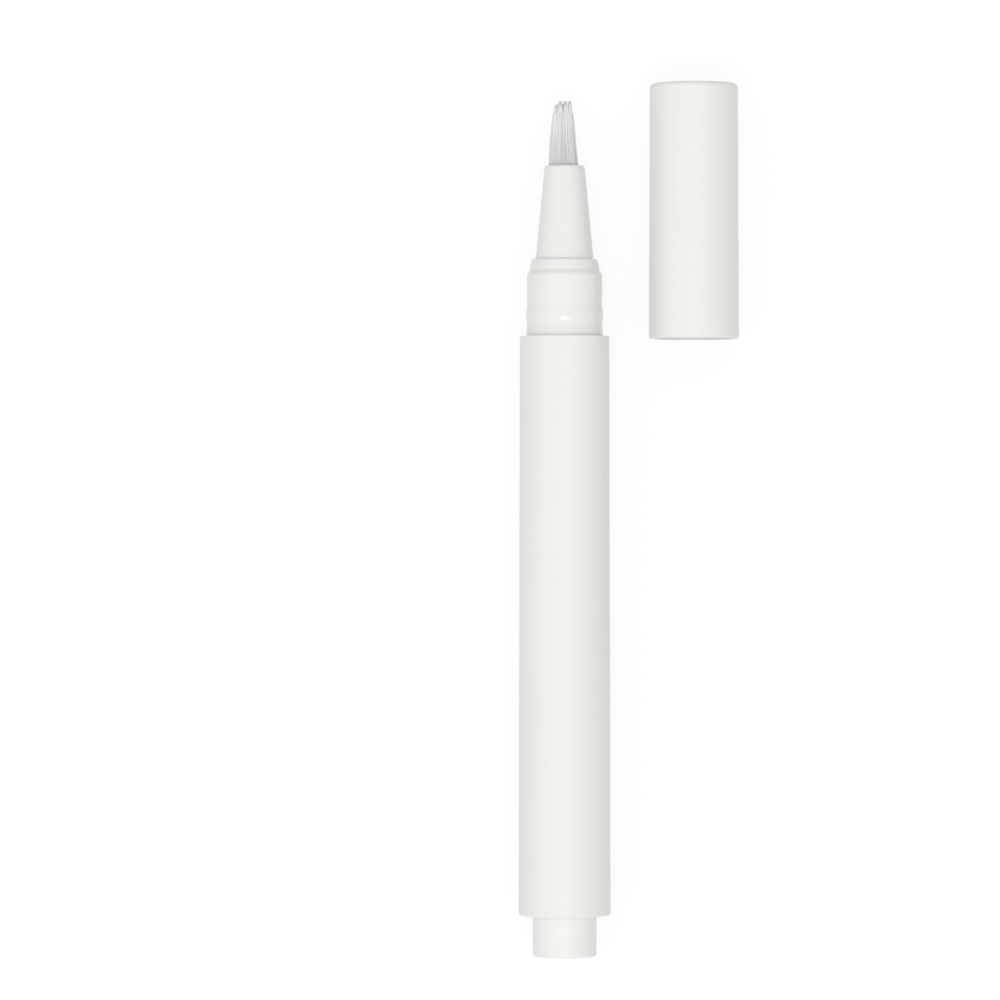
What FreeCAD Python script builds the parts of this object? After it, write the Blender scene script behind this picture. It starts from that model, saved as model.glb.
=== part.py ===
"""Click-type nail oil pen, lying on a surface with its cap taken off beside it.

Frame: the pen lies along +Y with its bristles at the +Y end, +X goes from the pen to its cap, +Z points up.
The origin is on the surface, in the middle of the footprint of pen and cap. Lengths are in millimetres.
Every turned piece is drawn as a half section: radius first, then station. A station is a distance along
the pen from the end face of its button. The cap has the same stations, as it lies level with its seat.
"""

import FreeCAD
import Part
import math
import os
import re
import Sketcher

SIZES = {
    # fits shared by several pieces
    "fixed_fit": 0.04,
    "running_fit": 0.1,
    "end_play": 0.05,
    # barrel: outer sleeve, slightly tapered
    "barrel_length": 86.84,
    "shoulder_diameter": 13.4,
    "barrel_taper": 0.4,
    "barrel_wall": 1.0,
    "tail_step": 0.15,
    "tail_lip": 1.1,
    "lip_height": 0.65,
    "tail_round": 0.4,
    "shoulder_round": 0.1,
    "key_slot_depth": 0.4,
    # button and the stem inside it
    "button_reach": 6.15,
    "button_wall": 1.2,
    "button_side_wall": 0.7,
    "button_round": 0.4,
    "button_travel": 2.5,
    "stem_wall": 0.6,
    "stem_flange": 1.2,
    "stem_ring": 1.15,
    "key_width": 1.2,
    # click cams with their saw teeth
    "cam_gap": 0.25,
    "cam_wall": 0.85,
    "tooth_margin": 0.2,
    "tooth_height": 0.8,
    "tooth_gap": 0.15,
    "tooth_count": 12,
    "rotor_length": 2.5,
    "spring_recess": 1.25,
    "cam_ring_length": 2.4,
    # return spring
    "spring_wire": 0.5,
    "spring_turns": 5,
    "spring_end_pitch": 0.53,
    # mechanism housing
    "housing_length": 26.1,
    "housing_wall": 1.31,
    "spring_pocket": 2.9,
    "housing_web": 1.5,
    # drive sleeve, with the nut at its front end
    "sleeve_wall": 0.6,
    "sleeve_overhang": 2.2,
    "spline_height": 0.5,
    "spline_width": 1.0,
    "spline_count": 4,
    "nut_length": 5.9,
    "collar_step": 0.35,
    "collar_thickness": 1.2,
    "washer_thickness": 0.3,
    # lead screw and its guide
    "thread_depth": 0.5,
    "thread_pitch": 2.4,
    "thread_crest": 0.72,
    "thread_flank": 0.26,
    "thread_lead_in": 0.6,
    "screw_tail_gap": 0.9,
    "screw_neck_step": 0.4,
    "screw_neck_length": 1.2,
    "screw_head_step": 0.45,
    "screw_head_length": 1.9,
    "guide_length": 3.5,
    # piston
    "piston_gap": 0.7,
    "piston_length": 6.6,
    "piston_lip": 1.3,
    "piston_waist": 0.35,
    "piston_nose": 0.9,
    # reservoir with its neck
    "reservoir_wall": 1.06,
    "flange_overlap": 0.04,
    "flange_rim": 0.9,
    "flange_length": 1.35,
    "flange_step": 0.1,
    "neck_length": 9.96,
    "neck_slope": 0.75,
    "neck_slope_round": 0.6,
    "bead_seat": 3.35,
    "bead_length": 2.3,
    "bead_rise": 0.15,
    # nozzle
    "plug_length": 6.75,
    "nozzle_collar_step": 0.48,
    "nozzle_collar_length": 1.6,
    "nozzle_collar_taper": 0.3,
    "nozzle_collar_rise": 0.075,
    "nozzle_collar_round": 0.35,
    "cone_step": 0.82,
    "cone_length": 14.05,
    "cone_tip_wall": 0.71,
    "cone_round": 0.48,
    "cone_foot_round": 0.2,
    "cone_mouth_chamfer": 0.2,
    "brush_bore": 4.56,
    "brush_bore_depth": 8.1,
    "channel_gap": 0.45,
    "plug_wall": 1.35,
    "tube_plug_length": 4.4,
    "ring_section": 0.9,
    "ring_setback": 2.2,
    # feed tube and brush
    "tube_bore": 1.2,
    "tube_wall": 0.4,
    "tube_seat": 1.5,
    "tube_reach": 2.6,
    "band_wall": 0.3,
    "band_length": 2.6,
    "tuft_gap": 0.06,
    "tuft_reach": 9.68,
    "tuft_tip_length": 0.85,
    "tuft_tip_share": 0.65,
    "tuft_end_share": 0.375,
    "tuft_side_rise": 0.16,
    # cap
    "cap_gap": 5.75,
    "cap_setback": 0.38,
    "cap_wall": 1.01,
    "cap_taper": 0.3,
    "cap_end_wall": 1.1,
    "cap_tip_gap": 1.1,
    "cap_round": 0.7,
    "cap_mouth_round": 0.35,
    "cap_lead_step": 0.175,
    "cap_lead_length": 1.4,
    "cap_groove_length": 2.6,
    "cap_groove_rise": 0.2,
    "liner_step": 0.25,
    "liner_wall": 0.64,
    "liner_end_wall": 0.8,
    "liner_lip_length": 2.0,
}

# Widths and stations that follow from the sizes above, in order, so that each may use those before it.
PLACES = {
    # widths, from the barrel's wall inwards
    "tail_diameter": "shoulder_diameter + barrel_taper",
    "barrel_bore": "shoulder_diameter - 2 * barrel_wall",
    "tail_bore": "barrel_bore - 2 * tail_step",
    "lip_radius": "tail_bore / 2 - lip_height",
    "button_radius": "lip_radius - running_fit",
    "stem_radius": "button_radius - button_side_wall - fixed_fit",
    "cam_outer_radius": "tail_bore / 2 - cam_gap",
    "cam_inner_radius": "cam_outer_radius - cam_wall",
    "tooth_outer_radius": "cam_outer_radius - tooth_margin",
    "tooth_inner_radius": "cam_inner_radius + end_play",
    "spring_radius": "cam_inner_radius - 2 * running_fit - spring_wire / 2",
    "spline_radius": "spring_radius - spring_wire / 2 - 2 * running_fit",
    "sleeve_radius": "spline_radius - spline_height",
    "sleeve_bore_radius": "sleeve_radius - sleeve_wall",
    "thread_radius": "sleeve_bore_radius - 3 * running_fit",
    "core_radius": "thread_radius - thread_depth",
    "flat_radius": "core_radius + running_fit / 2",
    "screw_neck_radius": "core_radius - screw_neck_step",
    "screw_head_radius": "screw_neck_radius + screw_head_step",
    "insert_radius": "barrel_bore / 2 - fixed_fit",
    "housing_bore_radius": "insert_radius - housing_wall",
    "collar_radius": "housing_bore_radius + collar_step",
    "chamber_radius": "insert_radius - reservoir_wall",
    "piston_radius": "chamber_radius - fixed_fit",
    "flange_radius": "barrel_bore / 2 + flange_overlap",
    "neck_radius": "flange_radius - flange_step",
    "plug_radius": "chamber_radius - fixed_fit",
    "nozzle_collar_radius": "neck_radius - nozzle_collar_step",
    "cone_base_radius": "nozzle_collar_radius - cone_step",
    "cone_tip_radius": "brush_bore / 2 + cone_tip_wall",
    "tube_plug_radius": "plug_radius - plug_wall",
    "tube_radius": "tube_bore / 2 + tube_wall",
    "band_radius": "brush_bore / 2 - fixed_fit",
    "tuft_radius": "brush_bore / 2 - tuft_gap",
    "cap_bore_radius": "neck_radius + running_fit",
    "cap_mouth_radius": "cap_bore_radius + cap_wall",
    "cap_top_radius": "cap_mouth_radius - cap_taper / 2",
    "cap_lead_radius": "cap_bore_radius + cap_lead_step",
    "liner_seat_radius": "cap_bore_radius - liner_step",
    "liner_radius": "liner_seat_radius - fixed_fit",
    # stations along the pen
    "tail_face": "button_reach",
    "lip_face": "tail_face + tail_lip",
    "shoulder_face": "tail_face + barrel_length",
    "stem_flange_rear": "lip_face + end_play",
    "stem_flange_front": "stem_flange_rear + stem_flange",
    "stem_face": "stem_flange_front + stem_ring",
    "rotor_rear": "stem_face + 2 * tooth_height + tooth_gap",
    "rotor_front": "rotor_rear + rotor_length",
    "cam_face": "rotor_front + 2 * tooth_height + tooth_gap + button_travel",
    "cam_front": "cam_face + cam_ring_length",
    "spring_rear": "rotor_front - spring_recess + end_play",
    "spring_seat": "cam_front + spring_pocket",
    "web_front": "spring_seat + housing_web",
    "housing_front": "cam_front + housing_length",
    "washer_rear": "housing_front - washer_thickness",
    "collar_front": "washer_rear - end_play",
    "collar_rear": "collar_front - collar_thickness",
    "housing_ledge": "collar_rear - end_play",
    "nut_rear": "collar_front - nut_length",
    "sleeve_rear": "rotor_rear - sleeve_overhang",
    "guide_front": "housing_front + guide_length",
    "piston_rear": "guide_front + piston_gap",
    "piston_front": "piston_rear + piston_length",
    "flange_front": "shoulder_face + flange_length",
    "bead_rear": "shoulder_face + bead_seat - bead_length / 2",
    "bead_front": "shoulder_face + bead_seat + bead_length / 2",
    "neck_face": "shoulder_face + neck_length",
    "plug_rear": "neck_face - plug_length",
    "ring_place": "plug_rear + ring_setback",
    "collar_top": "neck_face + nozzle_collar_length",
    "cone_tip": "collar_top + cone_length",
    "brush_seat": "cone_tip - brush_bore_depth",
    "band_front": "brush_seat + band_length",
    "tube_rear": "plug_rear + tube_seat",
    "tube_front": "cone_tip + tube_reach",
    "tuft_tip": "cone_tip + tuft_reach",
    "screw_rear": "button_wall + button_travel + screw_tail_gap",
    "screw_head_rear": "piston_rear + screw_neck_length",
    "screw_front": "screw_head_rear + screw_head_length",
    "thread_rear": "screw_rear + thread_lead_in",
    "cap_mouth": "shoulder_face - cap_setback",
    "liner_mouth": "neck_face + end_play - cap_setback",
    "liner_inner_end": "tuft_tip + cap_tip_gap - cap_setback",
    "cap_inner_end": "liner_inner_end + liner_end_wall",
    "cap_top": "cap_inner_end + cap_end_wall",
    "groove_rear": "cap_mouth + bead_seat - cap_groove_length / 2",
    "groove_front": "cap_mouth + bead_seat + cap_groove_length / 2",
    # where the two axes lie in the frame
    "cap_offset": "tail_diameter / 2 + cap_gap + cap_mouth_radius",
    "pen_across": "-(cap_offset + cap_mouth_radius - tail_diameter / 2) / 2",
    "pen_along": "-max(cap_top; tuft_tip) / 2",
    "pen_height": "tail_diameter / 2",
    "cap_across": "pen_across + cap_offset",
    "cap_height": "cap_mouth_radius",
}

FULL_TURN = 360
TOLERANCE = 1e-4  # for telling edges apart, not a size of the pen

doc = FreeCAD.newDocument("nail_oil_pen")


def fill_sheet():
    """Writes the driving sizes as plain numbers and the places that follow from them as formulas."""
    sheet = doc.addObject("Spreadsheet::Sheet", "Sizes")
    cells = [(name, str(size)) for name, size in SIZES.items()]
    cells += [(name, "=" + formula) for name, formula in PLACES.items()]
    for row, (name, text) in enumerate(cells, start=1):
        sheet.set(f"A{row}", name)
        sheet.set(f"B{row}", text)
        sheet.setAlias(f"B{row}", name)
        sheet.recompute()
    doc.recompute()
    return sheet


sheet = fill_sheet()


def bound(formula):
    """The formula with each name of the sheet written as a cell of the sheet."""
    return re.sub(r"[a-z]+(?:_[a-z]+)+", lambda found: "Sizes." + found[0], formula)


def value(formula):
    """What the formula comes to now."""
    return float(sheet.evalExpression(bound(formula)))


def new_body(label, cap=False):
    """An empty body at the place of the pen's or the cap's axis."""
    body = doc.addObject("PartDesign::Body", label)
    body.Label = label
    body.setExpression("Placement.Base.x", bound("cap_across" if cap else "pen_across"))
    body.setExpression("Placement.Base.y", bound("pen_along"))
    body.setExpression("Placement.Base.z", bound("cap_height" if cap else "pen_height"))
    return body


def new_sketch(body, name, plane="XY_Plane"):
    """A sketch on one of the body's own origin planes."""
    sketch = body.newObject("Sketcher::SketchObject", f"{body.Label}_{name}")
    base = [feature for feature in body.Origin.OriginFeatures if feature.Role == plane][0]
    sketch.AttachmentSupport = [(base, "")]
    sketch.MapMode = "FlatFace"
    return sketch


def tie(sketch, kind, curve, point, formula):
    """Binds one coordinate of a point of a sketch, or a curve's radius, to a formula."""
    size = value(formula)
    where = (curve,) if point is None else (curve, point)
    if kind != "Radius" and abs(size) < TOLERANCE:
        axis = -2 if kind == "DistanceX" else -1
        sketch.addConstraint(Sketcher.Constraint("PointOnObject", curve, point, axis))
        return
    index = sketch.addConstraint(Sketcher.Constraint(kind, *where, size))
    sketch.setExpression(f"Constraints[{index}]", bound(formula))


def draw_outline(sketch, corners, arcs=None):
    """A closed outline through corners of (radius, station).

    arcs gives, for the number of a corner, how far the arc that follows it stands off its chord."""
    arcs = arcs or {}
    spots = [FreeCAD.Vector(value(radius), value(station), 0) for radius, station in corners]
    count = len(spots)
    curves = []
    turned = [False] * count
    for number, start in enumerate(spots):
        end = spots[(number + 1) % count]
        if number in arcs:
            aside = FreeCAD.Vector(end.y - start.y, start.x - end.x, 0).normalize()
            middle = (start + end) / 2 + aside * value(arcs[number])
            # A sketch counts an arc's ends anticlockwise, so one that runs the other way starts at its end.
            turned[number] = (middle - start).cross(end - start).z < 0
            curves.append(Part.Arc(end, middle, start) if turned[number] else Part.Arc(start, middle, end))
        else:
            curves.append(Part.LineSegment(start, end))
    sketch.addGeometry(curves)
    for number in range(count):
        after = (number + 1) % count
        end_point = 1 if turned[number] else 2
        start_point = 2 if turned[after] else 1
        sketch.addConstraint(Sketcher.Constraint("Coincident", number, end_point, after, start_point))
    for number, (radius, station) in enumerate(corners):
        point = 2 if turned[number] else 1
        tie(sketch, "DistanceX", number, point, radius)
        tie(sketch, "DistanceY", number, point, station)
    for number, rise in arcs.items():
        first, second = corners[number], corners[(number + 1) % count]
        chord = f"(({second[0]} - ({first[0]}))^2 + ({second[1]} - ({first[1]}))^2)"
        depth = f"abs({rise})"
        tie(sketch, "Radius", number, None, f"({chord} / 4 + {depth}^2) / (2 * {depth})")


def turn(body, corners, arcs=None, name="section"):
    """A solid of revolution about the pen's axis, from its half section."""
    sketch = new_sketch(body, name)
    draw_outline(sketch, corners, arcs)
    solid = body.newObject("PartDesign::Revolution", f"{body.Label}_turned")
    solid.Profile = sketch
    solid.ReferenceAxis = (sketch, ["V_Axis"])
    solid.Angle = FULL_TURN
    sketch.Visibility = False
    doc.recompute()
    return sketch


def draw_ring(body, radius, station, section, name="section"):
    """The round section of a ring or coil, to one side of the pen's axis."""
    sketch = new_sketch(body, name)
    centre = FreeCAD.Vector(value(radius), value(station), 0)
    sketch.addGeometry(Part.Circle(centre, FreeCAD.Vector(0, 0, 1), value(section) / 2))
    tie(sketch, "DistanceX", 0, 3, radius)
    tie(sketch, "DistanceY", 0, 3, station)
    tie(sketch, "Radius", 0, None, f"({section}) / 2")
    return sketch


def round_edges(body, size, places, feature="Fillet"):
    """Fillets or chamfers the round edges at the given places, each a (radius, station)."""
    base = body.Tip
    wanted = [(value(radius), value(station)) for radius, station in places]
    names = []
    for number, edge in enumerate(base.Shape.Edges, start=1):
        if not isinstance(edge.Curve, Part.Circle):
            continue
        found = (edge.Curve.Radius, edge.Curve.Center.y)
        if any(math.dist(found, place) < TOLERANCE for place in wanted):
            names.append(f"Edge{number}")
    if len(names) < len(wanted):
        raise RuntimeError(f"{body.Label}: {len(names)} of {len(wanted)} edges found at {places}")
    made = body.newObject(f"PartDesign::{feature}", f"{body.Label}_{feature.lower()}")
    made.Base = (base, names)
    made.setExpression("Radius" if feature == "Fillet" else "Size", bound(size))
    doc.recompute()


def repeat_around(body, sketch, original, count):
    """Repeats a feature evenly about the pen's axis."""
    pattern = body.newObject("PartDesign::PolarPattern", f"{original.Name}_ring")
    pattern.Originals = [original]
    pattern.Axis = (sketch, ["V_Axis"])
    pattern.Angle = FULL_TURN
    pattern.setExpression("Occurrences", bound(count))
    body.Tip = pattern
    doc.recompute()


def add_box(body, name, kind, low, size):
    """A box that is added or cut, from its low corner and its size, each along X, Y and Z."""
    box = body.newObject(f"PartDesign::{kind}Box", f"{body.Label}_{name}")
    for side, formula in zip(("Length", "Width", "Height"), size):
        box.setExpression(side, bound(formula))
    for axis, formula in zip("xyz", low):
        box.setExpression(f"Placement.Base.{axis}", bound(formula))
    doc.recompute()
    return box


def add_saw_teeth(body, section, name, face, ahead, steep_side):
    """A ring of saw teeth on a flat face. ahead is 1 for teeth that point forwards and -1 for backwards."""
    half_width = f"tooth_inner_radius * tan({FULL_TURN / 2} / tooth_count)"
    tip = f"{face} + {ahead} * tooth_height"
    sketch = new_sketch(body, name, "YZ_Plane")
    sketch.setExpression("AttachmentOffset.Base.z", bound("tooth_inner_radius"))
    steep = f"{steep_side} * {half_width}"
    draw_outline(sketch, [(face, f"-{half_width}"), (face, half_width), (tip, steep)])
    tooth = body.newObject("PartDesign::Pad", f"{body.Label}_{name}_tooth")
    tooth.Profile = sketch
    tooth.setExpression("Length", bound("tooth_outer_radius - tooth_inner_radius"))
    sketch.Visibility = False
    doc.recompute()
    repeat_around(body, section, tooth, "tooth_count")


def add_thread(body, name, feature, crest_radius, root_radius, crest, root, start, length):
    """A helical thread ridge or groove whose section's middle starts at the given station."""
    sketch = new_sketch(body, name)
    draw_outline(
        sketch,
        [
            (root_radius, f"{start} - ({root}) / 2"),
            (crest_radius, f"{start} - ({crest}) / 2"),
            (crest_radius, f"{start} + ({crest}) / 2"),
            (root_radius, f"{start} + ({root}) / 2"),
        ],
    )
    helix = body.newObject(f"PartDesign::{feature}Helix", f"{body.Label}_{name}_helix")
    helix.Profile = sketch
    helix.ReferenceAxis = (sketch, ["V_Axis"])
    helix.Mode = "pitch-height-angle"
    helix.setExpression("Pitch", bound("thread_pitch"))
    helix.setExpression("Height", bound(length))
    sketch.Visibility = False
    doc.recompute()


def build_barrel():
    """Outer sleeve: open at the shoulder, with a lip round the button and a step that seats the cam ring."""
    body = new_body("barrel")
    section = turn(
        body,
        [
            ("lip_radius", "tail_face"),
            ("tail_diameter / 2", "tail_face"),
            ("shoulder_diameter / 2", "shoulder_face"),
            ("barrel_bore / 2", "shoulder_face"),
            ("barrel_bore / 2", "cam_face"),
            ("tail_bore / 2", "cam_face"),
            ("tail_bore / 2", "lip_face"),
            ("lip_radius", "lip_face"),
        ],
    )
    round_edges(body, "tail_round", [("tail_diameter / 2", "tail_face")])
    round_edges(body, "shoulder_round", [("shoulder_diameter / 2", "shoulder_face")])
    slot = add_box(
        body,
        "key_slot",
        "Subtractive",
        ("tail_bore / 2 - key_slot_depth", "lip_face", "-(key_width / 2 + running_fit)"),
        ("2 * key_slot_depth", "cam_face - lip_face", "key_width + 2 * running_fit"),
    )
    repeat_around(body, section, slot, "2")


def build_button_cap():
    """The white end cup that is pressed with a thumb."""
    body = new_body("button_cap")
    inner = "button_radius - button_side_wall"
    turn(
        body,
        [
            ("0", "0"),
            ("button_radius", "0"),
            ("button_radius", "stem_flange_rear"),
            (inner, "stem_flange_rear"),
            (inner, "button_wall"),
            ("0", "button_wall"),
        ],
    )
    round_edges(body, "button_round", [("button_radius", "0")])


def build_knock_stem():
    """Stem inside the button: a stop flange with two keys, and the first ring of saw teeth."""
    body = new_body("knock_stem")
    flange = "tail_bore / 2 - running_fit"
    bore = "stem_radius - stem_wall"
    section = turn(
        body,
        [
            (bore, "button_wall + end_play"),
            ("stem_radius", "button_wall + end_play"),
            ("stem_radius", "stem_flange_rear"),
            (flange, "stem_flange_rear"),
            (flange, "stem_flange_front"),
            ("cam_outer_radius", "stem_flange_front"),
            ("cam_outer_radius", "stem_face"),
            ("cam_inner_radius", "stem_face"),
            ("cam_inner_radius", "stem_flange_front"),
            (bore, "stem_flange_front"),
        ],
    )
    key = add_box(
        body,
        "key",
        "Additive",
        (f"{flange} - key_slot_depth", "stem_flange_rear", "-key_width / 2"),
        ("2 * key_slot_depth", "stem_flange", "key_width"),
    )
    repeat_around(body, section, key, "2")
    add_saw_teeth(body, section, "front", "stem_face", 1, -1)


def build_ratchet_rotor():
    """Ring that the saw teeth turn a step at each click. It slides on the sleeve's splines."""
    body = new_body("ratchet_rotor")
    bore = "sleeve_radius + running_fit"
    recess = "cam_inner_radius - running_fit"
    recess_floor = "rotor_front - spring_recess"
    section = turn(
        body,
        [
            (bore, "rotor_rear"),
            ("cam_outer_radius", "rotor_rear"),
            ("cam_outer_radius", "rotor_front"),
            (recess, "rotor_front"),
            (recess, recess_floor),
            (bore, recess_floor),
        ],
    )
    add_saw_teeth(body, section, "rear", "rotor_rear", -1, 1)
    add_saw_teeth(body, section, "front", "rotor_front", 1, 1)
    keyway = add_box(
        body,
        "keyway",
        "Subtractive",
        ("0", "rotor_rear - tooth_height", "-(spline_width / 2 + running_fit)"),
        (
            "spline_radius + running_fit",
            "rotor_length + tooth_height",
            "spline_width + 2 * running_fit",
        ),
    )
    repeat_around(body, section, keyway, "spline_count")


def build_fixed_cam_ring():
    """Ring held on the barrel's step, with the saw teeth that finish each click."""
    body = new_body("fixed_cam_ring")
    section = turn(
        body,
        [
            ("cam_inner_radius", "cam_face"),
            ("insert_radius", "cam_face"),
            ("insert_radius", "cam_front"),
            ("cam_inner_radius", "cam_front"),
        ],
    )
    add_saw_teeth(body, section, "rear", "cam_face", -1, -1)


def build_return_spring():
    """Compression spring between the rotor and the housing, with one closed coil at each end."""
    body = new_body("return_spring")
    first = "spring_rear + spring_wire / 2"
    last = "spring_seat - end_play - spring_wire / 2"
    working = f"{last} - ({first}) - 2 * spring_end_pitch"
    coils = {
        "rear": (first, "spring_end_pitch", "1"),
        "middle": (f"{first} + spring_end_pitch", working, "spring_turns"),
        "front": (f"{last} - spring_end_pitch", "spring_end_pitch", "1"),
    }
    for name, (start, height, turns) in coils.items():
        sketch = draw_ring(body, "spring_radius", start, "spring_wire", name)
        coil = body.newObject("PartDesign::AdditiveHelix", f"return_spring_{name}_coil")
        coil.Profile = sketch
        coil.ReferenceAxis = (sketch, ["V_Axis"])
        coil.Mode = "height-turns-angle"
        coil.setExpression("Height", bound(height))
        coil.setExpression("Turns", bound(turns))
        sketch.Visibility = False
        doc.recompute()


def build_mech_housing():
    """Long bush in the barrel: it seats the spring and holds the sleeve's collar."""
    body = new_body("mech_housing")
    pocket = "collar_radius + running_fit"
    spring_chamber = "spring_radius + spring_wire / 2 + running_fit"
    web_bore = "spline_radius + running_fit"
    turn(
        body,
        [
            (spring_chamber, "cam_front"),
            ("insert_radius", "cam_front"),
            ("insert_radius", "housing_front"),
            (pocket, "housing_front"),
            (pocket, "housing_ledge"),
            ("housing_bore_radius", "housing_ledge"),
            ("housing_bore_radius", "web_front"),
            (web_bore, "web_front"),
            (web_bore, "spring_seat"),
            (spring_chamber, "spring_seat"),
        ],
    )


def build_drive_sleeve():
    """Sleeve that turns with the rotor: splines, a journal in the web, a thrust collar and the nut's thread."""
    body = new_body("drive_sleeve")
    nut_outer = "housing_bore_radius - running_fit"
    nut_bore = "core_radius + 1.5 * running_fit"
    crest_width = "thread_crest + 2 * running_fit"
    root_width = "thread_crest + 2 * thread_flank + 2 * running_fit"
    section = turn(
        body,
        [
            ("sleeve_bore_radius", "sleeve_rear"),
            ("sleeve_radius", "sleeve_rear"),
            ("sleeve_radius", "spring_seat"),
            ("spline_radius", "spring_seat"),
            ("spline_radius", "web_front"),
            ("sleeve_radius", "web_front"),
            ("sleeve_radius", f"nut_rear - ({nut_outer} - sleeve_radius)"),
            (nut_outer, "nut_rear"),
            (nut_outer, "collar_rear"),
            ("collar_radius", "collar_rear"),
            ("collar_radius", "collar_front"),
            (nut_bore, "collar_front"),
            (nut_bore, "nut_rear"),
            ("sleeve_bore_radius", "nut_rear - thread_depth"),
        ],
    )
    # The groove starts whole pitches ahead of the screw's own thread, so the two are in mesh.
    turns_ahead = "floor((nut_rear - thread_rear) / thread_pitch)"
    add_thread(
        body,
        "nut_thread",
        "Subtractive",
        "thread_radius + running_fit",
        "core_radius",
        crest_width,
        root_width,
        f"thread_rear + ({turns_ahead} - 1) * thread_pitch",
        "nut_length + 3 * thread_pitch",
    )
    spline = add_box(
        body,
        "spline",
        "Additive",
        ("sleeve_radius - sleeve_wall / 2", "rotor_rear", "-spline_width / 2"),
        (
            "spline_height + sleeve_wall / 2",
            "rotor_length + button_travel",
            "spline_width",
        ),
    )
    repeat_around(body, section, spline, "spline_count")


def build_thrust_washer():
    """Thin washer between the sleeve's collar and the guide."""
    body = new_body("thrust_washer")
    inner = "thread_radius + running_fit"
    turn(
        body,
        [
            (inner, "washer_rear"),
            ("collar_radius", "washer_rear"),
            ("collar_radius", "housing_front"),
            (inner, "housing_front"),
        ],
    )


def build_rod_guide():
    """Guide whose hole has two flats, so the screw slides through it and can't turn."""
    body = new_body("rod_guide")
    half_flat = "flat_radius + running_fit"
    radius = "thread_radius + running_fit"
    turn(
        body,
        [
            ("0", "housing_front"),
            ("insert_radius", "housing_front"),
            ("insert_radius", "guide_front"),
            ("0", "guide_front"),
        ],
    )
    sketch = new_sketch(body, "hole", "XZ_Plane")
    corner = FreeCAD.Vector(math.sqrt(value(radius) ** 2 - value(half_flat) ** 2), value(half_flat), 0)
    right_high, left_high = corner, FreeCAD.Vector(-corner.x, corner.y, 0)
    left_low, right_low = -corner, FreeCAD.Vector(corner.x, -corner.y, 0)
    across = FreeCAD.Vector(value(radius), 0, 0)
    sketch.addGeometry(
        [
            Part.LineSegment(right_high, left_high),
            Part.Arc(left_high, -across, left_low),
            Part.LineSegment(left_low, right_low),
            Part.Arc(right_low, across, right_high),
        ]
    )
    for first, second in ((0, 1), (1, 2), (2, 3), (3, 0)):
        sketch.addConstraint(Sketcher.Constraint("Coincident", first, 2, second, 1))
    for arc in (1, 3):
        sketch.addConstraint(Sketcher.Constraint("Coincident", arc, 3, -1, 1))
        tie(sketch, "Radius", arc, None, radius)
    for line, sign in ((0, ""), (2, "-")):
        sketch.addConstraint(Sketcher.Constraint("Horizontal", line))
        tie(sketch, "DistanceY", line, 1, f"{sign}({half_flat})")
    hole = body.newObject("PartDesign::Pocket", "rod_guide_hole_cut")
    hole.Profile = sketch
    hole.Type = "ThroughAll"
    sketch.Visibility = False
    doc.recompute()


def build_lead_screw():
    """Threaded rod with two flats and a snap head that holds the piston."""
    body = new_body("lead_screw")
    section = turn(
        body,
        [
            ("0", "screw_rear"),
            ("core_radius", "screw_rear"),
            ("core_radius", "piston_rear"),
            ("screw_neck_radius", "piston_rear"),
            ("screw_neck_radius", "screw_head_rear"),
            ("screw_head_radius", "screw_head_rear"),
            ("screw_neck_radius", "screw_front"),
            ("0", "screw_front"),
        ],
    )
    add_thread(
        body,
        "thread",
        "Additive",
        "thread_radius",
        "core_radius - running_fit / 2",
        "thread_crest",
        "thread_crest + 2 * thread_flank",
        "thread_rear",
        "guide_front - thread_rear",
    )
    flat = add_box(
        body,
        "flat",
        "Subtractive",
        ("-2 * thread_radius", "screw_rear - thread_pitch", "flat_radius"),
        ("4 * thread_radius", "piston_rear - screw_rear + 2 * thread_pitch", "2 * thread_radius"),
    )
    repeat_around(body, section, flat, "2")


def build_piston():
    """Piston with a wiping lip at each end and a socket that snaps on the screw's head."""
    body = new_body("piston")
    waist = "piston_radius - piston_waist"
    socket = "screw_head_radius + fixed_fit"
    throat = "screw_neck_radius + fixed_fit"
    turn(
        body,
        [
            (throat, "piston_rear"),
            ("piston_radius", "piston_rear"),
            ("piston_radius", "piston_rear + piston_lip"),
            (waist, "piston_rear + piston_lip + piston_waist"),
            (waist, "piston_front - piston_nose - piston_lip - piston_waist"),
            ("piston_radius", "piston_front - piston_nose - piston_lip"),
            ("piston_radius", "piston_front - piston_nose"),
            ("0", "piston_front"),
            ("0", "screw_front + end_play"),
            (socket, "screw_front + end_play"),
            (socket, "screw_head_rear - fixed_fit"),
            (throat, "screw_head_rear - fixed_fit"),
        ],
    )


def build_reservoir():
    """Oil tube inside the barrel. Its neck stands out of the shoulder, with a flange and the cap's snap bead.

    The neck slopes in at its top to the width of the nozzle's collar."""
    body = new_body("reservoir")
    slope_foot = "neck_face - neck_slope"
    turn(
        body,
        [
            ("chamber_radius", "guide_front"),
            ("insert_radius", "guide_front"),
            ("insert_radius", "shoulder_face"),
            ("flange_radius", "shoulder_face"),
            ("flange_radius", "shoulder_face + flange_rim"),
            ("neck_radius", "flange_front"),
            ("neck_radius", "bead_rear"),
            ("neck_radius", "bead_front"),
            ("neck_radius", slope_foot),
            ("nozzle_collar_radius", "neck_face"),
            ("chamber_radius", "neck_face"),
        ],
        arcs={6: "bead_rise"},
    )
    round_edges(body, "neck_slope_round", [("neck_radius", slope_foot)])


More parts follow.
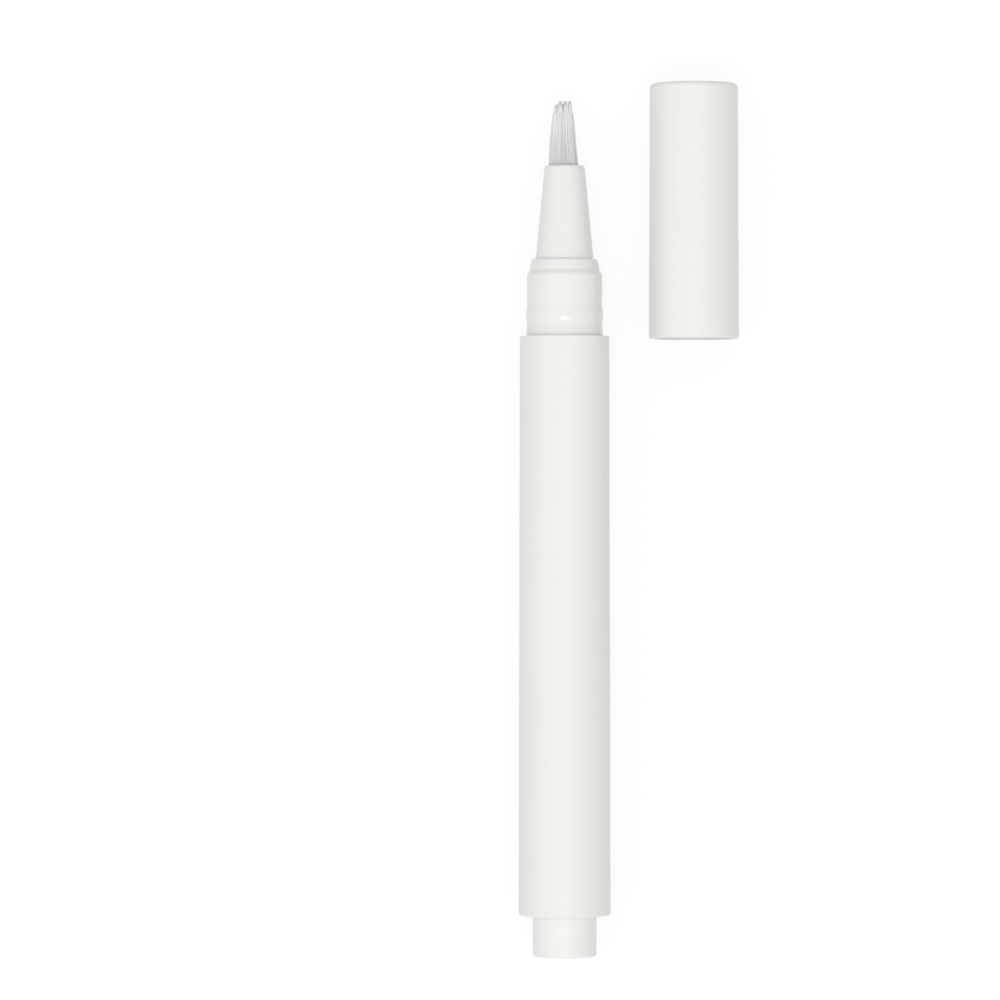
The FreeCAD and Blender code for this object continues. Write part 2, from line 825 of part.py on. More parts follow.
def build_nozzle():
    """Nozzle: a plug in the neck, a crowned collar on its face and the long cone that holds the brush."""
    body = new_body("nozzle")
    groove = "plug_radius - ring_section"
    groove_rear = "ring_place - ring_section / 2 - running_fit"
    groove_front = "ring_place + ring_section / 2 + running_fit"
    pocket = "tube_plug_radius + fixed_fit"
    channel = "tube_radius + channel_gap"
    collar_top_radius = "nozzle_collar_radius - nozzle_collar_taper"
    turn(
        body,
        [
            (pocket, "plug_rear"),
            ("plug_radius", "plug_rear"),
            ("plug_radius", groove_rear),
            (groove, groove_rear),
            (groove, groove_front),
            ("plug_radius", groove_front),
            ("plug_radius", "neck_face"),
            ("nozzle_collar_radius", "neck_face"),
            (collar_top_radius, "collar_top"),
            ("cone_base_radius", "collar_top"),
            ("cone_tip_radius", "cone_tip"),
            ("brush_bore / 2", "cone_tip"),
            ("brush_bore / 2", "brush_seat"),
            (channel, "brush_seat"),
            (channel, "plug_rear + tube_plug_length"),
            (pocket, "plug_rear + tube_plug_length"),
        ],
        arcs={7: "nozzle_collar_rise"},
    )
    round_edges(body, "nozzle_collar_round", [(collar_top_radius, "collar_top")])
    round_edges(body, "cone_round", [("cone_tip_radius", "cone_tip")])
    round_edges(body, "cone_foot_round", [("cone_base_radius", "collar_top")])
    round_edges(body, "cone_mouth_chamfer", [("brush_bore / 2", "cone_tip")], "Chamfer")


def build_nozzle_ring():
    """Sealing ring in the plug's groove."""
    body = new_body("nozzle_ring")
    section = "ring_section - fixed_fit"
    sketch = draw_ring(body, "plug_radius - ring_section / 2", "ring_place", section)
    ring = body.newObject("PartDesign::Revolution", "nozzle_ring_turned")
    ring.Profile = sketch
    ring.ReferenceAxis = (sketch, ["V_Axis"])
    ring.Angle = FULL_TURN
    sketch.Visibility = False
    doc.recompute()


def build_tube_plug():
    """Plug that holds the feed tube in the back of the nozzle."""
    body = new_body("tube_plug")
    front = "plug_rear + tube_plug_length"
    tube_hole = "tube_radius + fixed_fit"
    turn(
        body,
        [
            ("tube_bore", "plug_rear"),
            ("tube_plug_radius", "plug_rear"),
            ("tube_plug_radius", front),
            (tube_hole, front),
            (tube_hole, "tube_rear"),
            ("tube_bore / 2", "tube_rear"),
        ],
    )


def build_feed_tube():
    """Thin tube that carries oil into the middle of the brush."""
    body = new_body("feed_tube")
    turn(
        body,
        [
            ("tube_bore / 2", "tube_rear"),
            ("tube_radius", "tube_rear"),
            ("tube_radius", "tube_front"),
            ("tube_bore / 2", "tube_front"),
        ],
    )


def build_brush_band():
    """Metal band that grips the root of the tuft."""
    body = new_body("brush_band")
    turn(
        body,
        [
            ("band_radius - band_wall", "brush_seat"),
            ("band_radius", "brush_seat"),
            ("band_radius", "band_front"),
            ("band_radius - band_wall", "band_front"),
        ],
    )


def build_bristle_tuft():
    """The bristles as one soft form: gripped at the root, straight in the bore, tapered to a blunt tip."""
    body = new_body("bristle_tuft")
    root = "band_radius - band_wall - fixed_fit"
    tube_hole = "tube_radius + fixed_fit"
    hole_end = "tube_front + end_play"
    turn(
        body,
        [
            (tube_hole, "brush_seat"),
            (root, "brush_seat"),
            (root, "band_front + end_play"),
            ("tuft_radius", "band_front + end_play"),
            ("tuft_radius", "cone_tip"),
            ("tuft_radius * tuft_tip_share", "tuft_tip - tuft_tip_length"),
            ("tuft_radius * tuft_end_share", "tuft_tip"),
            ("0", "tuft_tip"),
            ("0", hole_end),
            (tube_hole, hole_end),
        ],
        arcs={4: "tuft_side_rise"},
    )


def build_cap_shell():
    """Outer cap, slightly tapered, with a lead-in, a groove for the neck's bead and a ledge for the liner."""
    body = new_body("cap_shell", cap=True)
    turn(
        body,
        [
            ("cap_lead_radius", "cap_mouth"),
            ("cap_mouth_radius", "cap_mouth"),
            ("cap_top_radius", "cap_top"),
            ("0", "cap_top"),
            ("0", "cap_inner_end"),
            ("liner_seat_radius", "cap_inner_end"),
            ("liner_seat_radius", "liner_mouth"),
            ("cap_bore_radius", "liner_mouth"),
            ("cap_bore_radius", "groove_front"),
            ("cap_bore_radius", "groove_rear"),
            ("cap_bore_radius", "cap_mouth + cap_lead_length"),
            ("cap_lead_radius", "cap_mouth + cap_lead_length"),
        ],
        arcs={8: "-cap_groove_rise"},
    )
    round_edges(body, "cap_round", [("cap_top_radius", "cap_top")])
    round_edges(body, "cap_mouth_round", [("cap_mouth_radius", "cap_mouth")])


def build_cap_liner():
    """Soft inner cup pressed into the cap. Its lip seals round the nozzle's collar."""
    body = new_body("cap_liner", cap=True)
    inner = "liner_radius - liner_wall"
    lip = "nozzle_collar_radius + end_play / 2"
    turn(
        body,
        [
            (lip, "liner_mouth"),
            ("liner_radius", "liner_mouth"),
            ("liner_radius", "cap_inner_end"),
            ("0", "cap_inner_end"),
            ("0", "liner_inner_end"),
            (inner, "liner_inner_end"),
            (inner, "liner_mouth + liner_lip_length"),
            (lip, "liner_mouth + liner_lip_length"),
        ],
    )


def write_parts():
    """Checks every object and writes one STEP file for each body."""
    doc.recompute()
    failed = [item.Name for item in doc.Objects if {"Invalid", "Error"} & set(item.State)]
    if failed:
        raise RuntimeError(f"these objects failed: {failed}")
    bodies = [item for item in doc.Objects if item.TypeId == "PartDesign::Body"]
    for body in bodies:
        shape = body.Shape
        if shape.isNull() or not shape.isValid() or not shape.Solids:
            raise RuntimeError(f"{body.Label} is not a valid solid")
    os.makedirs("parts", exist_ok=True)
    for body in bodies:
        body.Shape.exportStep(f"parts/{body.Label}.step")
        print(f"{body.Label}: {len(body.Shape.Solids)} solid, {body.Shape.Volume:.2f} mm3")


build_barrel()
build_button_cap()
build_knock_stem()
build_ratchet_rotor()
build_fixed_cam_ring()
build_return_spring()
build_mech_housing()
build_drive_sleeve()
build_thrust_washer()
build_rod_guide()
build_lead_screw()
build_piston()
build_reservoir()
build_nozzle()
build_nozzle_ring()
build_tube_plug()
build_feed_tube()
build_brush_band()
build_bristle_tuft()
build_cap_shell()
build_cap_liner()
write_parts()
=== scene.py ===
"""Nail oil pen lying beside its cap on a pale floor, seen from straight above."""

import math
import random
from collections import namedtuple

import bmesh
import bpy
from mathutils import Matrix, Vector


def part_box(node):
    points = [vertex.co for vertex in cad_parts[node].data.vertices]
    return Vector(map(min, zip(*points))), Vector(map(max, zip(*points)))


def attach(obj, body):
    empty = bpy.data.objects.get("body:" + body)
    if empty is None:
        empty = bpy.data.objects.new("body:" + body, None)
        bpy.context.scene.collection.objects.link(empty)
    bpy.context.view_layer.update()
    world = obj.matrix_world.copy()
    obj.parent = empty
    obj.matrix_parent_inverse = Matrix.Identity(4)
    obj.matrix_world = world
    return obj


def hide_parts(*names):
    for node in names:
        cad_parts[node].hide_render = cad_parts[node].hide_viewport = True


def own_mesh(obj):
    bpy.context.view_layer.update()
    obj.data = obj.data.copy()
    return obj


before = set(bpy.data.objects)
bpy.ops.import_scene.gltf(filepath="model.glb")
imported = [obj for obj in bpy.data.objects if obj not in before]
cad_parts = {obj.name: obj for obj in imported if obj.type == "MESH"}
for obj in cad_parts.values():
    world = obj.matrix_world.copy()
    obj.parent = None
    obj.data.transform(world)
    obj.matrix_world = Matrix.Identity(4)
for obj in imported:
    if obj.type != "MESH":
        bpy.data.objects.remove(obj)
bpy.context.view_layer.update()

MM = 0.001

# The photograph's frame, as real sizes at the height of the pen's axis
PIXEL = 0.15 * MM
FRAME_PIXELS = 1000
PEN_COLUMN = 564.6
BUTTON_ROW = 956.2
CAMERA_HEIGHT = 870 * MM
SENSOR_MM = 36

# The pen's axis, and the end face of its button
barrel_low, barrel_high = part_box("barrel")
pen_x = (barrel_low.x + barrel_high.x) / 2
pen_z = (barrel_low.z + barrel_high.z) / 2
button_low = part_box("button_cap")[0]

# Ranges of a noise that a material uses: all of it, most of it, the middle and the upper middle
ALL = (0, 1)
MOST = (0.3, 0.7)
MIDDLE = (0.35, 0.65)
UPPER = (0.4, 0.7)

# How uneven a fine noise is
FINE = 0.6

# Moulded plastic: the sizes of its clouds, flecks, uneven gloss and grain, and how strong each is
CLOUD_SIZE = 9 * MM
FLECK_SIZE = 0.9 * MM
FLECKS = (0, 0.5)
FLECK_GAIN = 1.012
GLOSS_SIZE = 3 * MM
GLOSSIER = 0.93
DULLER = 1.08
GRAIN_SIZE = 0.25 * MM
GRAIN = 0.001 * MM
FAINT_GRAIN = 0.0005 * MM
PLASTIC_IOR = 1.49

# The barrel's and cap's white, and that of the clouds in it
WHITE = (0.85, 0.84, 0.82)
WARM_WHITE = (0.86, 0.848, 0.815)

# Each moulded plastic: its colour, its clouds' colour, its roughness and the depth of its grain
PLASTICS = {
    "barrel plastic": (WHITE, WARM_WHITE, 0.34, GRAIN),
    "cap plastic": (WHITE, WARM_WHITE, 0.34, GRAIN),
    "neck plastic": ((0.86, 0.85, 0.825), (0.86, 0.85, 0.81), 0.24, FAINT_GRAIN),
    "nozzle plastic": ((0.85, 0.845, 0.83), (0.85, 0.84, 0.81), 0.28, FAINT_GRAIN),
    "button plastic": ((0.86, 0.855, 0.84), (0.87, 0.86, 0.83), 0.26, GRAIN),
    "acetal": ((0.8, 0.8, 0.77), (0.78, 0.77, 0.72), 0.4, GRAIN),
    "washer nylon": ((0.76, 0.74, 0.66), (0.74, 0.71, 0.61), 0.3, GRAIN),
    "piston polythene": ((0.73, 0.77, 0.78), (0.76, 0.78, 0.77), 0.36, GRAIN),
    "liner polypropylene": ((0.79, 0.79, 0.76), (0.8, 0.79, 0.74), 0.3, GRAIN),
}

# Drawn steel: its colours, how dark its lines are, their width and depth, its roughness, and how far the
# lines are drawn out
BAND_STEEL = (0.62, 0.63, 0.65)
SPRING_STEEL = (0.56, 0.57, 0.6)
STEEL_LINE_SHARE = 0.86
STEEL_LINE = 0.2 * MM
STEEL_DEPTH = 0.002 * MM
STEEL_ROUGHNESS = (0.2, 0.38)
BAND_STRETCH = 0.06
NO_STRETCH = 1

# Rubber: its colour and that of its bloom, the bloom's size, and the skin's grain
RUBBER = (0.012, 0.012, 0.012)
BLOOM = (0.03, 0.029, 0.028)
BLOOM_SIZE = 1.2 * MM
RUBBER_ROUGHNESS = (0.5, 0.68)
RUBBER_GRAIN = 0.12 * MM
RUBBER_DEPTH = 0.004 * MM

# Cloudy tube: its colour in its lines and between them, their width, stretch and depth, and how clear it is
TUBE_LINE = (0.8, 0.83, 0.82)
TUBE = (0.88, 0.9, 0.89)
TUBE_LINE_SIZE = 0.25 * MM
TUBE_STRETCH = 0.05
TUBE_DEPTH = 0.002 * MM
TUBE_ROUGHNESS = (0.18, 0.3)
TUBE_CLEAR = 0.45
TUBE_IOR = 1.5

# Nylon: its colour at the cone, where it is palest and at the tips
ROOT_NYLON = (0.75, 0.755, 0.765)
PALE_NYLON = (0.95, 0.95, 0.95)
TIP_NYLON = (0.74, 0.74, 0.745)
# How far up their visible length the filaments reach their palest, and where below the tip they darken
PALE_FROM_SHARE = 0.65
TIP_STARTS = 1.2 * MM
TIP_WHOLE = 0.3 * MM
# The palest filament's colour and how far the others go towards it
PALEST_FILAMENT = (0.96, 0.96, 0.96)
PALER = (0, 0.22)
# The lines along the filaments: colour, strength, width, stretch and depth
NYLON_LINE = (0.8, 0.81, 0.83)
NYLON_LINES = (0, 0.14)
NYLON_LINE_SIZE = 0.12 * MM
NYLON_STRETCH = 0.04
NYLON_DEPTH = 0.002 * MM
NYLON_ROUGHNESS = (0.26, 0.42)
NYLON_IOR = 1.53


def fresh_tree(owner, output_kind):
    """Empties the node tree of a material or world. Gives the tree and its output's surface."""
    owner.use_nodes = True
    tree = owner.node_tree
    tree.nodes.clear()
    return tree, tree.nodes.new(output_kind).inputs["Surface"]


def new_material(name):
    """A material, its node tree, its shader and its object coordinates in metres."""
    material = bpy.data.materials.new(name)
    tree, surface = fresh_tree(material, "ShaderNodeOutputMaterial")
    shader = tree.nodes.new("ShaderNodeBsdfPrincipled")
    tree.links.new(shader.outputs["BSDF"], surface)
    place = tree.nodes.new("ShaderNodeTexCoord").outputs["Object"]
    return material, tree, shader, place


def stretch(tree, place, along):
    """The same coordinates, drawn out along the pen where the scale is below 1."""
    node = tree.nodes.new("ShaderNodeMapping")
    node.inputs["Scale"].default_value = (1, along, 1)
    tree.links.new(place, node.inputs["Vector"])
    return node.outputs["Vector"]


def noise(tree, place, size, detail, rough=0.5):
    """Noise whose features are about this size, in metres."""
    node = tree.nodes.new("ShaderNodeTexNoise")
    node.inputs["Scale"].default_value = 1 / size
    node.inputs["Detail"].default_value = detail
    node.inputs["Roughness"].default_value = rough
    tree.links.new(place, node.inputs["Vector"])
    return node.outputs["Fac"]


def spread(tree, value, old, new):
    """A value taken from one range to another."""
    node = tree.nodes.new("ShaderNodeMapRange")
    for name, number in zip(("From Min", "From Max", "To Min", "To Max"), (*old, *new)):
        node.inputs[name].default_value = number
    tree.links.new(value, node.inputs["Value"])
    return node.outputs["Result"]


def blend_colours(tree, share, first, second):
    """First colour where the share is 0 and second where it is 1. Each is a colour or a socket."""
    node = tree.nodes.new("ShaderNodeMix")
    node.data_type = "RGBA"
    tree.links.new(share, node.inputs["Factor"])
    for socket, colour in ((node.inputs["A"], first), (node.inputs["B"], second)):
        if isinstance(colour, tuple):
            socket.default_value = (*colour, 1)
        else:
            tree.links.new(colour, socket)
    return node.outputs["Result"]


def finish_surface(tree, shader, colour, roughness, height, depth):
    """Gives the shader its colour, its roughness and a bump of this depth, in metres."""
    tree.links.new(colour, shader.inputs["Base Color"])
    tree.links.new(roughness, shader.inputs["Roughness"])
    bump = tree.nodes.new("ShaderNodeBump")
    bump.inputs["Distance"].default_value = depth
    tree.links.new(height, bump.inputs["Height"])
    tree.links.new(bump.outputs["Normal"], shader.inputs["Normal"])


def moulded(name, colour, warm, rough, depth):
    """Moulded white plastic: faint clouds of a warmer white, uneven gloss and a fine skin."""
    material, tree, shader, place = new_material(name)
    clouds = spread(tree, noise(tree, place, CLOUD_SIZE, detail=3), MIDDLE, ALL)
    flecks = spread(tree, noise(tree, place, FLECK_SIZE, detail=2), MOST, FLECKS)
    tinted = blend_colours(tree, clouds, colour, warm)
    paler = tuple(min(1.0, part * FLECK_GAIN) for part in colour)
    flecked = blend_colours(tree, flecks, tinted, paler)
    uneven = (rough * GLOSSIER, rough * DULLER)
    gloss = spread(tree, noise(tree, place, GLOSS_SIZE, detail=4), MOST, uneven)
    grain = noise(tree, place, GRAIN_SIZE, detail=3, rough=FINE)
    finish_surface(tree, shader, flecked, gloss, grain, depth)
    shader.inputs["IOR"].default_value = PLASTIC_IOR
    return material


def drawn_steel(name, colour, along):
    """Drawn steel, with fine lines drawn out along the pen."""
    material, tree, shader, place = new_material(name)
    lines = noise(tree, stretch(tree, place, along), STEEL_LINE, detail=3, rough=FINE)
    darker = tuple(part * STEEL_LINE_SHARE for part in colour)
    lined = blend_colours(tree, lines, darker, colour)
    roughness = spread(tree, lines, MOST, STEEL_ROUGHNESS)
    finish_surface(tree, shader, lined, roughness, lines, STEEL_DEPTH)
    shader.inputs["Metallic"].default_value = 1
    return material


def rubber(name):
    """Dark moulded rubber with a dusty bloom."""
    material, tree, shader, place = new_material(name)
    bloom = spread(tree, noise(tree, place, BLOOM_SIZE, detail=4), UPPER, ALL)
    dusty = blend_colours(tree, bloom, RUBBER, BLOOM)
    roughness = spread(tree, bloom, ALL, RUBBER_ROUGHNESS)
    grain = noise(tree, place, RUBBER_GRAIN, detail=3)
    finish_surface(tree, shader, dusty, roughness, grain, RUBBER_DEPTH)
    return material


def clear_tube(name):
    """Extruded tube of cloudy plastic, with faint lines along it."""
    material, tree, shader, place = new_material(name)
    lines = noise(tree, stretch(tree, place, TUBE_STRETCH), TUBE_LINE_SIZE, detail=3)
    lined = blend_colours(tree, lines, TUBE_LINE, TUBE)
    roughness = spread(tree, lines, MOST, TUBE_ROUGHNESS)
    finish_surface(tree, shader, lined, roughness, lines, TUBE_DEPTH)
    shader.inputs["Transmission Weight"].default_value = TUBE_CLEAR
    shader.inputs["IOR"].default_value = TUBE_IOR
    return material


def nylon(name, root_y, tip_y):
    """Nylon filaments: each a little different, darker at the root and the tip than between them."""
    material, tree, shader, place = new_material(name)
    parts = tree.nodes.new("ShaderNodeSeparateXYZ")
    tree.links.new(place, parts.inputs["Vector"])
    pale_y = root_y + PALE_FROM_SHARE * (tip_y - root_y)
    along = spread(tree, parts.outputs["Y"], (root_y, pale_y), ALL)
    ends = spread(tree, parts.outputs["Y"], (tip_y - TIP_STARTS, tip_y - TIP_WHOLE), ALL)
    shaft = blend_colours(tree, along, ROOT_NYLON, PALE_NYLON)
    body = blend_colours(tree, ends, shaft, TIP_NYLON)
    each = tree.nodes.new("ShaderNodeNewGeometry").outputs["Random Per Island"]
    shade = blend_colours(tree, spread(tree, each, ALL, PALER), body, PALEST_FILAMENT)
    streaks = noise(tree, stretch(tree, place, NYLON_STRETCH), NYLON_LINE_SIZE, detail=2)
    lined = blend_colours(tree, spread(tree, streaks, MIDDLE, NYLON_LINES), shade, NYLON_LINE)
    roughness = spread(tree, each, ALL, NYLON_ROUGHNESS)
    finish_surface(tree, shader, lined, roughness, streaks, NYLON_DEPTH)
    shader.inputs["IOR"].default_value = NYLON_IOR
    return material


def dress_nodes():
    """Gives each CAD node that the scene keeps its material."""
    plastics = {name: moulded(name, *looks) for name, looks in PLASTICS.items()}
    materials = {
        "barrel": plastics["barrel plastic"],
        "cap_shell": plastics["cap plastic"],
        "cap_liner": plastics["liner polypropylene"],
        "reservoir": plastics["neck plastic"],
        "nozzle": plastics["nozzle plastic"],
        "button_cap": plastics["button plastic"],
        "knock_stem": plastics["acetal"],
        "ratchet_rotor": plastics["acetal"],
        "fixed_cam_ring": plastics["acetal"],
        "mech_housing": plastics["acetal"],
        "drive_sleeve": plastics["acetal"],
        "rod_guide": plastics["acetal"],
        "lead_screw": plastics["acetal"],
        "thrust_washer": plastics["washer nylon"],
        "piston": plastics["piston polythene"],
        "nozzle_ring": rubber("ring rubber"),
        "tube_plug": plastics["liner polypropylene"],
        "feed_tube": clear_tube("tube plastic"),
        "brush_band": drawn_steel("band steel", BAND_STEEL, BAND_STRETCH),
    }
    for name, material in materials.items():
        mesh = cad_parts[name].data
        mesh.materials.clear()
        mesh.materials.append(material)


# The number of corners of a face that lies along a tube or a wire, not across its end
QUAD = 4


def add_object(name, data):
    """A new object in the scene."""
    thing = bpy.data.objects.new(name, data)
    bpy.context.scene.collection.objects.link(thing)
    return thing


def heading(points, index):
    """The direction of a line of points at one of them."""
    ahead = points[min(index + 1, len(points) - 1)] - points[max(index - 1, 0)]
    return ahead.normalized()


def add_ring(mesh, middle, radius, right, up, sides):
    """A ring of vertices round a point, in the plane of two directions."""
    ring = []
    for number in range(sides):
        angle = 2 * math.pi * number / sides
        offset = right * math.cos(angle) + up * math.sin(angle)
        ring.append(mesh.verts.new(middle + radius * offset))
    return ring


def skin_rings(mesh, rings):
    """Faces from each ring of vertices to the next, and across both ends."""
    for first, second in zip(rings, rings[1:]):
        for number in range(len(first)):
            other = (number + 1) % len(first)
            mesh.faces.new((first[number], first[other], second[other], second[number]))
    mesh.faces.new(list(reversed(rings[0])))
    mesh.faces.new(rings[-1])


def finish_mesh(mesh, name, material):
    """Turns a bmesh into an object in the scene, smooth but for the flat ends."""
    bmesh.ops.recalc_face_normals(mesh, faces=mesh.faces)
    for face in mesh.faces:
        face.smooth = len(face.verts) == QUAD
    data = bpy.data.meshes.new(name)
    mesh.to_mesh(data)
    mesh.free()
    data.materials.append(material)
    return add_object(name, data)


# The filaments: how many there are, their form, and how they thin towards their tips
FILAMENTS = 1100
FILAMENT_RADIUS = 0.05 * MM
FILAMENT_SIDES = 6
FILAMENT_STEPS = 9
FILAMENT_TIP_SHARE = 0.6
THINNING_POWER = 1.5
POINT_SHARE = 0.45
GOLDEN_ANGLE = math.pi * (3 - math.sqrt(5))
# The draws' seed, and each filament's play: in its number, its turn in radians, its drift and its ragged end
SEED = 41
NUMBER_PLAY = (0.1, 0.9)
TURN_PLAY = 0.02
DRIFT_PLAY = 0.05 * MM
RAGGED = 0.12 * MM
# The brush's radius in the cone and above it, and how far above the band it is reached
BRUSH_RADIUS = 2.22 * MM
ABOVE_BAND = 1 * MM
# Its width, and from where the filaments fill its middle, both by shares of the visible length
OUTLINE_SHARES = [(0.0, 1.0), (0.1, 0.985), (0.3, 0.92), (0.5, 0.855), (0.7, 0.775), (0.85, 0.7), (1.0, 0.6)]
CLOSED_FROM_SHARE = 0.45
# How far the brush leans to the left where it leaves the cone and further up, how deep in the bore that
# starts, and from where up the visible length it is whole
ROOT_LEAN = -0.17 * MM
BRUSH_LEAN = -0.27 * MM
LEAN_DEPTH = 0.22 * MM
LEAN_WHOLE_SHARE = 1 / 3
# From where up the visible length the filaments are drawn into clumps, and how wide a clump ends, against
# the width it would have undrawn
CLUMPS_FROM_SHARE = 0.72
CLUMP_TIGHT_SHARE = 0.5
# The innermost filaments end lower and are drawn less, which fills the space between the clumps
INNER_SHARE = 0.55
INNER_SHORTER = 0.2 * MM
INNER_PULL_SHARE = 0.6
# Each clump's place across the tip, to the right and up, and how much shorter it ends, in millimetres
CLUMPS = [
    (-0.93, 0.45, 0.6),
    (-0.96, -0.4, 0.75),
    (-0.31, 1.0, 0.08),
    (-0.36, 0.1, 0.1),
    (0.03, 0.1, 0.3),
    (-0.33, -0.8, 0.1),
    (0.36, 0.95, 0.12),
    (0.43, 0.0, 0.1),
    (0.36, -0.85, 0.1),
    (1.06, 0.45, 0.08),
    (1.08, -0.4, 0.2),
]


def between(points, share):
    """The value at a share, on the straight runs between (share, value) points."""
    for (low, first), (high, second) in zip(points, points[1:]):
        if share <= high:
            part = max(0.0, (share - low) / (high - low))
            return first + (second - first) * part
    return points[-1][1]


def eased(share):
    """A share limited to 0 and 1, with a smooth start and end."""
    share = max(0.0, min(1.0, share))
    return share * share * (3 - 2 * share)


def nearest_clump(x, z):
    """The place, to the right and up, and the shortening of the clump that is nearest at the tip."""
    clump = min(CLUMPS, key=lambda c: (c[0] * MM - x) ** 2 + (c[1] * MM - z) ** 2)
    return [size * MM for size in clump]


# What makes one filament its own: its direction from the axis, its reach there at the root and further up,
# its drift, its clump and how far it is drawn there, and where it ends
Filament = namedtuple("Filament", "aside above reach closed sideways lift clump_x clump_z pull end")

# What the brush takes from its neighbours
tuft_low, tuft_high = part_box("bristle_tuft")
tube_low, tube_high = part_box("feed_tube")
band_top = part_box("brush_band")[1].y
cone_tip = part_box("nozzle")[1].y
tube_radius = (tube_high.x - tube_low.x) / 2
root_radius = (tuft_high.x - tuft_low.x) / 2
tip_radius = BRUSH_RADIUS * between(OUTLINE_SHARES, 1)


def share_at(station):
    """How far up the brush's visible length a station is, below 0 in the cone."""
    return (station - cone_tip) / (tuft_high.y - cone_tip)


def new_filament(number):
    """One filament, with its random play."""
    filled = (number + random.uniform(*NUMBER_PLAY)) / FILAMENTS
    turn = number * GOLDEN_ANGLE + random.uniform(-TURN_PLAY, TURN_PLAY)
    sideways = random.uniform(-DRIFT_PLAY, DRIFT_PLAY)
    lift = random.uniform(-DRIFT_PLAY, DRIFT_PLAY)
    ragged = abs(random.gauss(0, RAGGED))
    aside = math.cos(turn)
    above = math.sin(turn)
    # In the cone the filaments stand round the tube, and above its end they close up
    inner = (tube_radius + FILAMENT_RADIUS) / root_radius
    outer = 1 - FILAMENT_RADIUS / root_radius
    reach = math.sqrt(inner * inner + filled * (outer * outer - inner * inner))
    closed = outer * math.sqrt(filled)
    clump_x, clump_z, shorter = nearest_clump(closed * aside * tip_radius, closed * above * tip_radius)
    pull = 1 - CLUMP_TIGHT_SHARE
    end = tuft_high.y - shorter - ragged
    if closed < INNER_SHARE:
        pull *= INNER_PULL_SHARE
        end -= INNER_SHORTER
    return Filament(aside, above, reach, closed, sideways, lift, clump_x, clump_z, pull, end)


def filament_point(filament, station):
    """Where a filament is at a station along the pen."""
    share = share_at(station)
    free = max(0.0, share)
    radius = BRUSH_RADIUS if station > band_top + ABOVE_BAND else root_radius
    wide = radius * between(OUTLINE_SHARES, free)
    closing = eased(share / CLOSED_FROM_SHARE)
    place = filament.reach + (filament.closed - filament.reach) * closing
    x = place * filament.aside * wide
    z = place * filament.above * wide
    drawn = eased((share - CLUMPS_FROM_SHARE) / (1 - CLUMPS_FROM_SHARE)) * filament.pull
    x += (filament.clump_x - x) * drawn
    z += (filament.clump_z - z) * drawn
    if station >= cone_tip:
        x += ROOT_LEAN + (BRUSH_LEAN - ROOT_LEAN) * min(1.0, free / LEAN_WHOLE_SHARE)
    x += filament.sideways * free
    z += filament.lift * free
    return Vector((pen_x + x, station, pen_z + z))


def filament_line(filament):
    """The points along a filament and its radius at each. The last point rounds its tip."""
    stations = [tuft_low.y, band_top, cone_tip - LEAN_DEPTH, cone_tip]
    for step in range(1, FILAMENT_STEPS + 1):
        stations.append(cone_tip + (filament.end - cone_tip) * step / FILAMENT_STEPS)
    points = [filament_point(filament, station) for station in stations]
    radii = []
    for station in stations:
        thinner = (1 - FILAMENT_TIP_SHARE) * max(0.0, share_at(station)) ** THINNING_POWER
        radii.append(FILAMENT_RADIUS * (1 - thinner))
    points.append(points[-1] + (points[-1] - points[-2]).normalized() * radii[-1])
    radii.append(radii[-1] * POINT_SHARE)
    return points, radii


def add_bristles():
    """The tuft: tapered filaments round the feed tube, drawn into clumps at their tips."""
    random.seed(SEED)
    mesh = bmesh.new()
    for number in range(FILAMENTS):
        points, radii = filament_line(new_filament(number))
        rings = []
        for index, (point, radius) in enumerate(zip(points, radii)):
            ahead = heading(points, index)
            side = ahead.cross(Vector((0, 0, 1))).normalized()
            rings.append(add_ring(mesh, point, radius, side, side.cross(ahead), FILAMENT_SIDES))
        skin_rings(mesh, rings)
    brush = finish_mesh(mesh, "bristles", nylon("nylon filament", cone_tip, tuft_high.y))
    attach(brush, "pen")
    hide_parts("bristle_tuft")


# The return spring: its wire, its coils, and the rise of the closed coil at each end
WIRE_RADIUS = 0.25 * MM
WIRE_SIDES = 12
WORKING_COILS = 5
END_COILS = 2
COIL_POINTS = 32
CLOSED_RISE = 2.1 * WIRE_RADIUS


def add_spring():
    """The return spring: a coiled wire in the CAD spring's place, with a closed coil at each end."""
    low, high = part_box("return_spring")
    mean = (high.x - low.x) / 2 - WIRE_RADIUS
    first = low.y + WIRE_RADIUS
    last = high.y - WIRE_RADIUS
    working = (last - first - END_COILS * CLOSED_RISE) / WORKING_COILS
    coils = WORKING_COILS + END_COILS
    points = []
    for number in range(coils * COIL_POINTS + 1):
        turn = number / COIL_POINTS
        before = min(turn, 1)
        after = max(0, turn - (coils - 1))
        rise = CLOSED_RISE * (before + after) + working * (turn - before - after)
        angle = 2 * math.pi * turn
        x = pen_x + mean * math.cos(angle)
        z = pen_z + mean * math.sin(angle)
        points.append(Vector((x, first + rise, z)))
    mesh = bmesh.new()
    rings = []
    for index, point in enumerate(points):
        out = Vector((point.x - pen_x, 0, point.z - pen_z)).normalized()
        side = heading(points, index).cross(out).normalized()
        rings.append(add_ring(mesh, point, WIRE_RADIUS, out, side, WIRE_SIDES))
    skin_rings(mesh, rings)
    spring = finish_mesh(mesh, "spring_wire", drawn_steel("spring steel", SPRING_STEEL, NO_STRETCH))
    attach(spring, "pen")
    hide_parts("return_spring")
    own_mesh(spring)


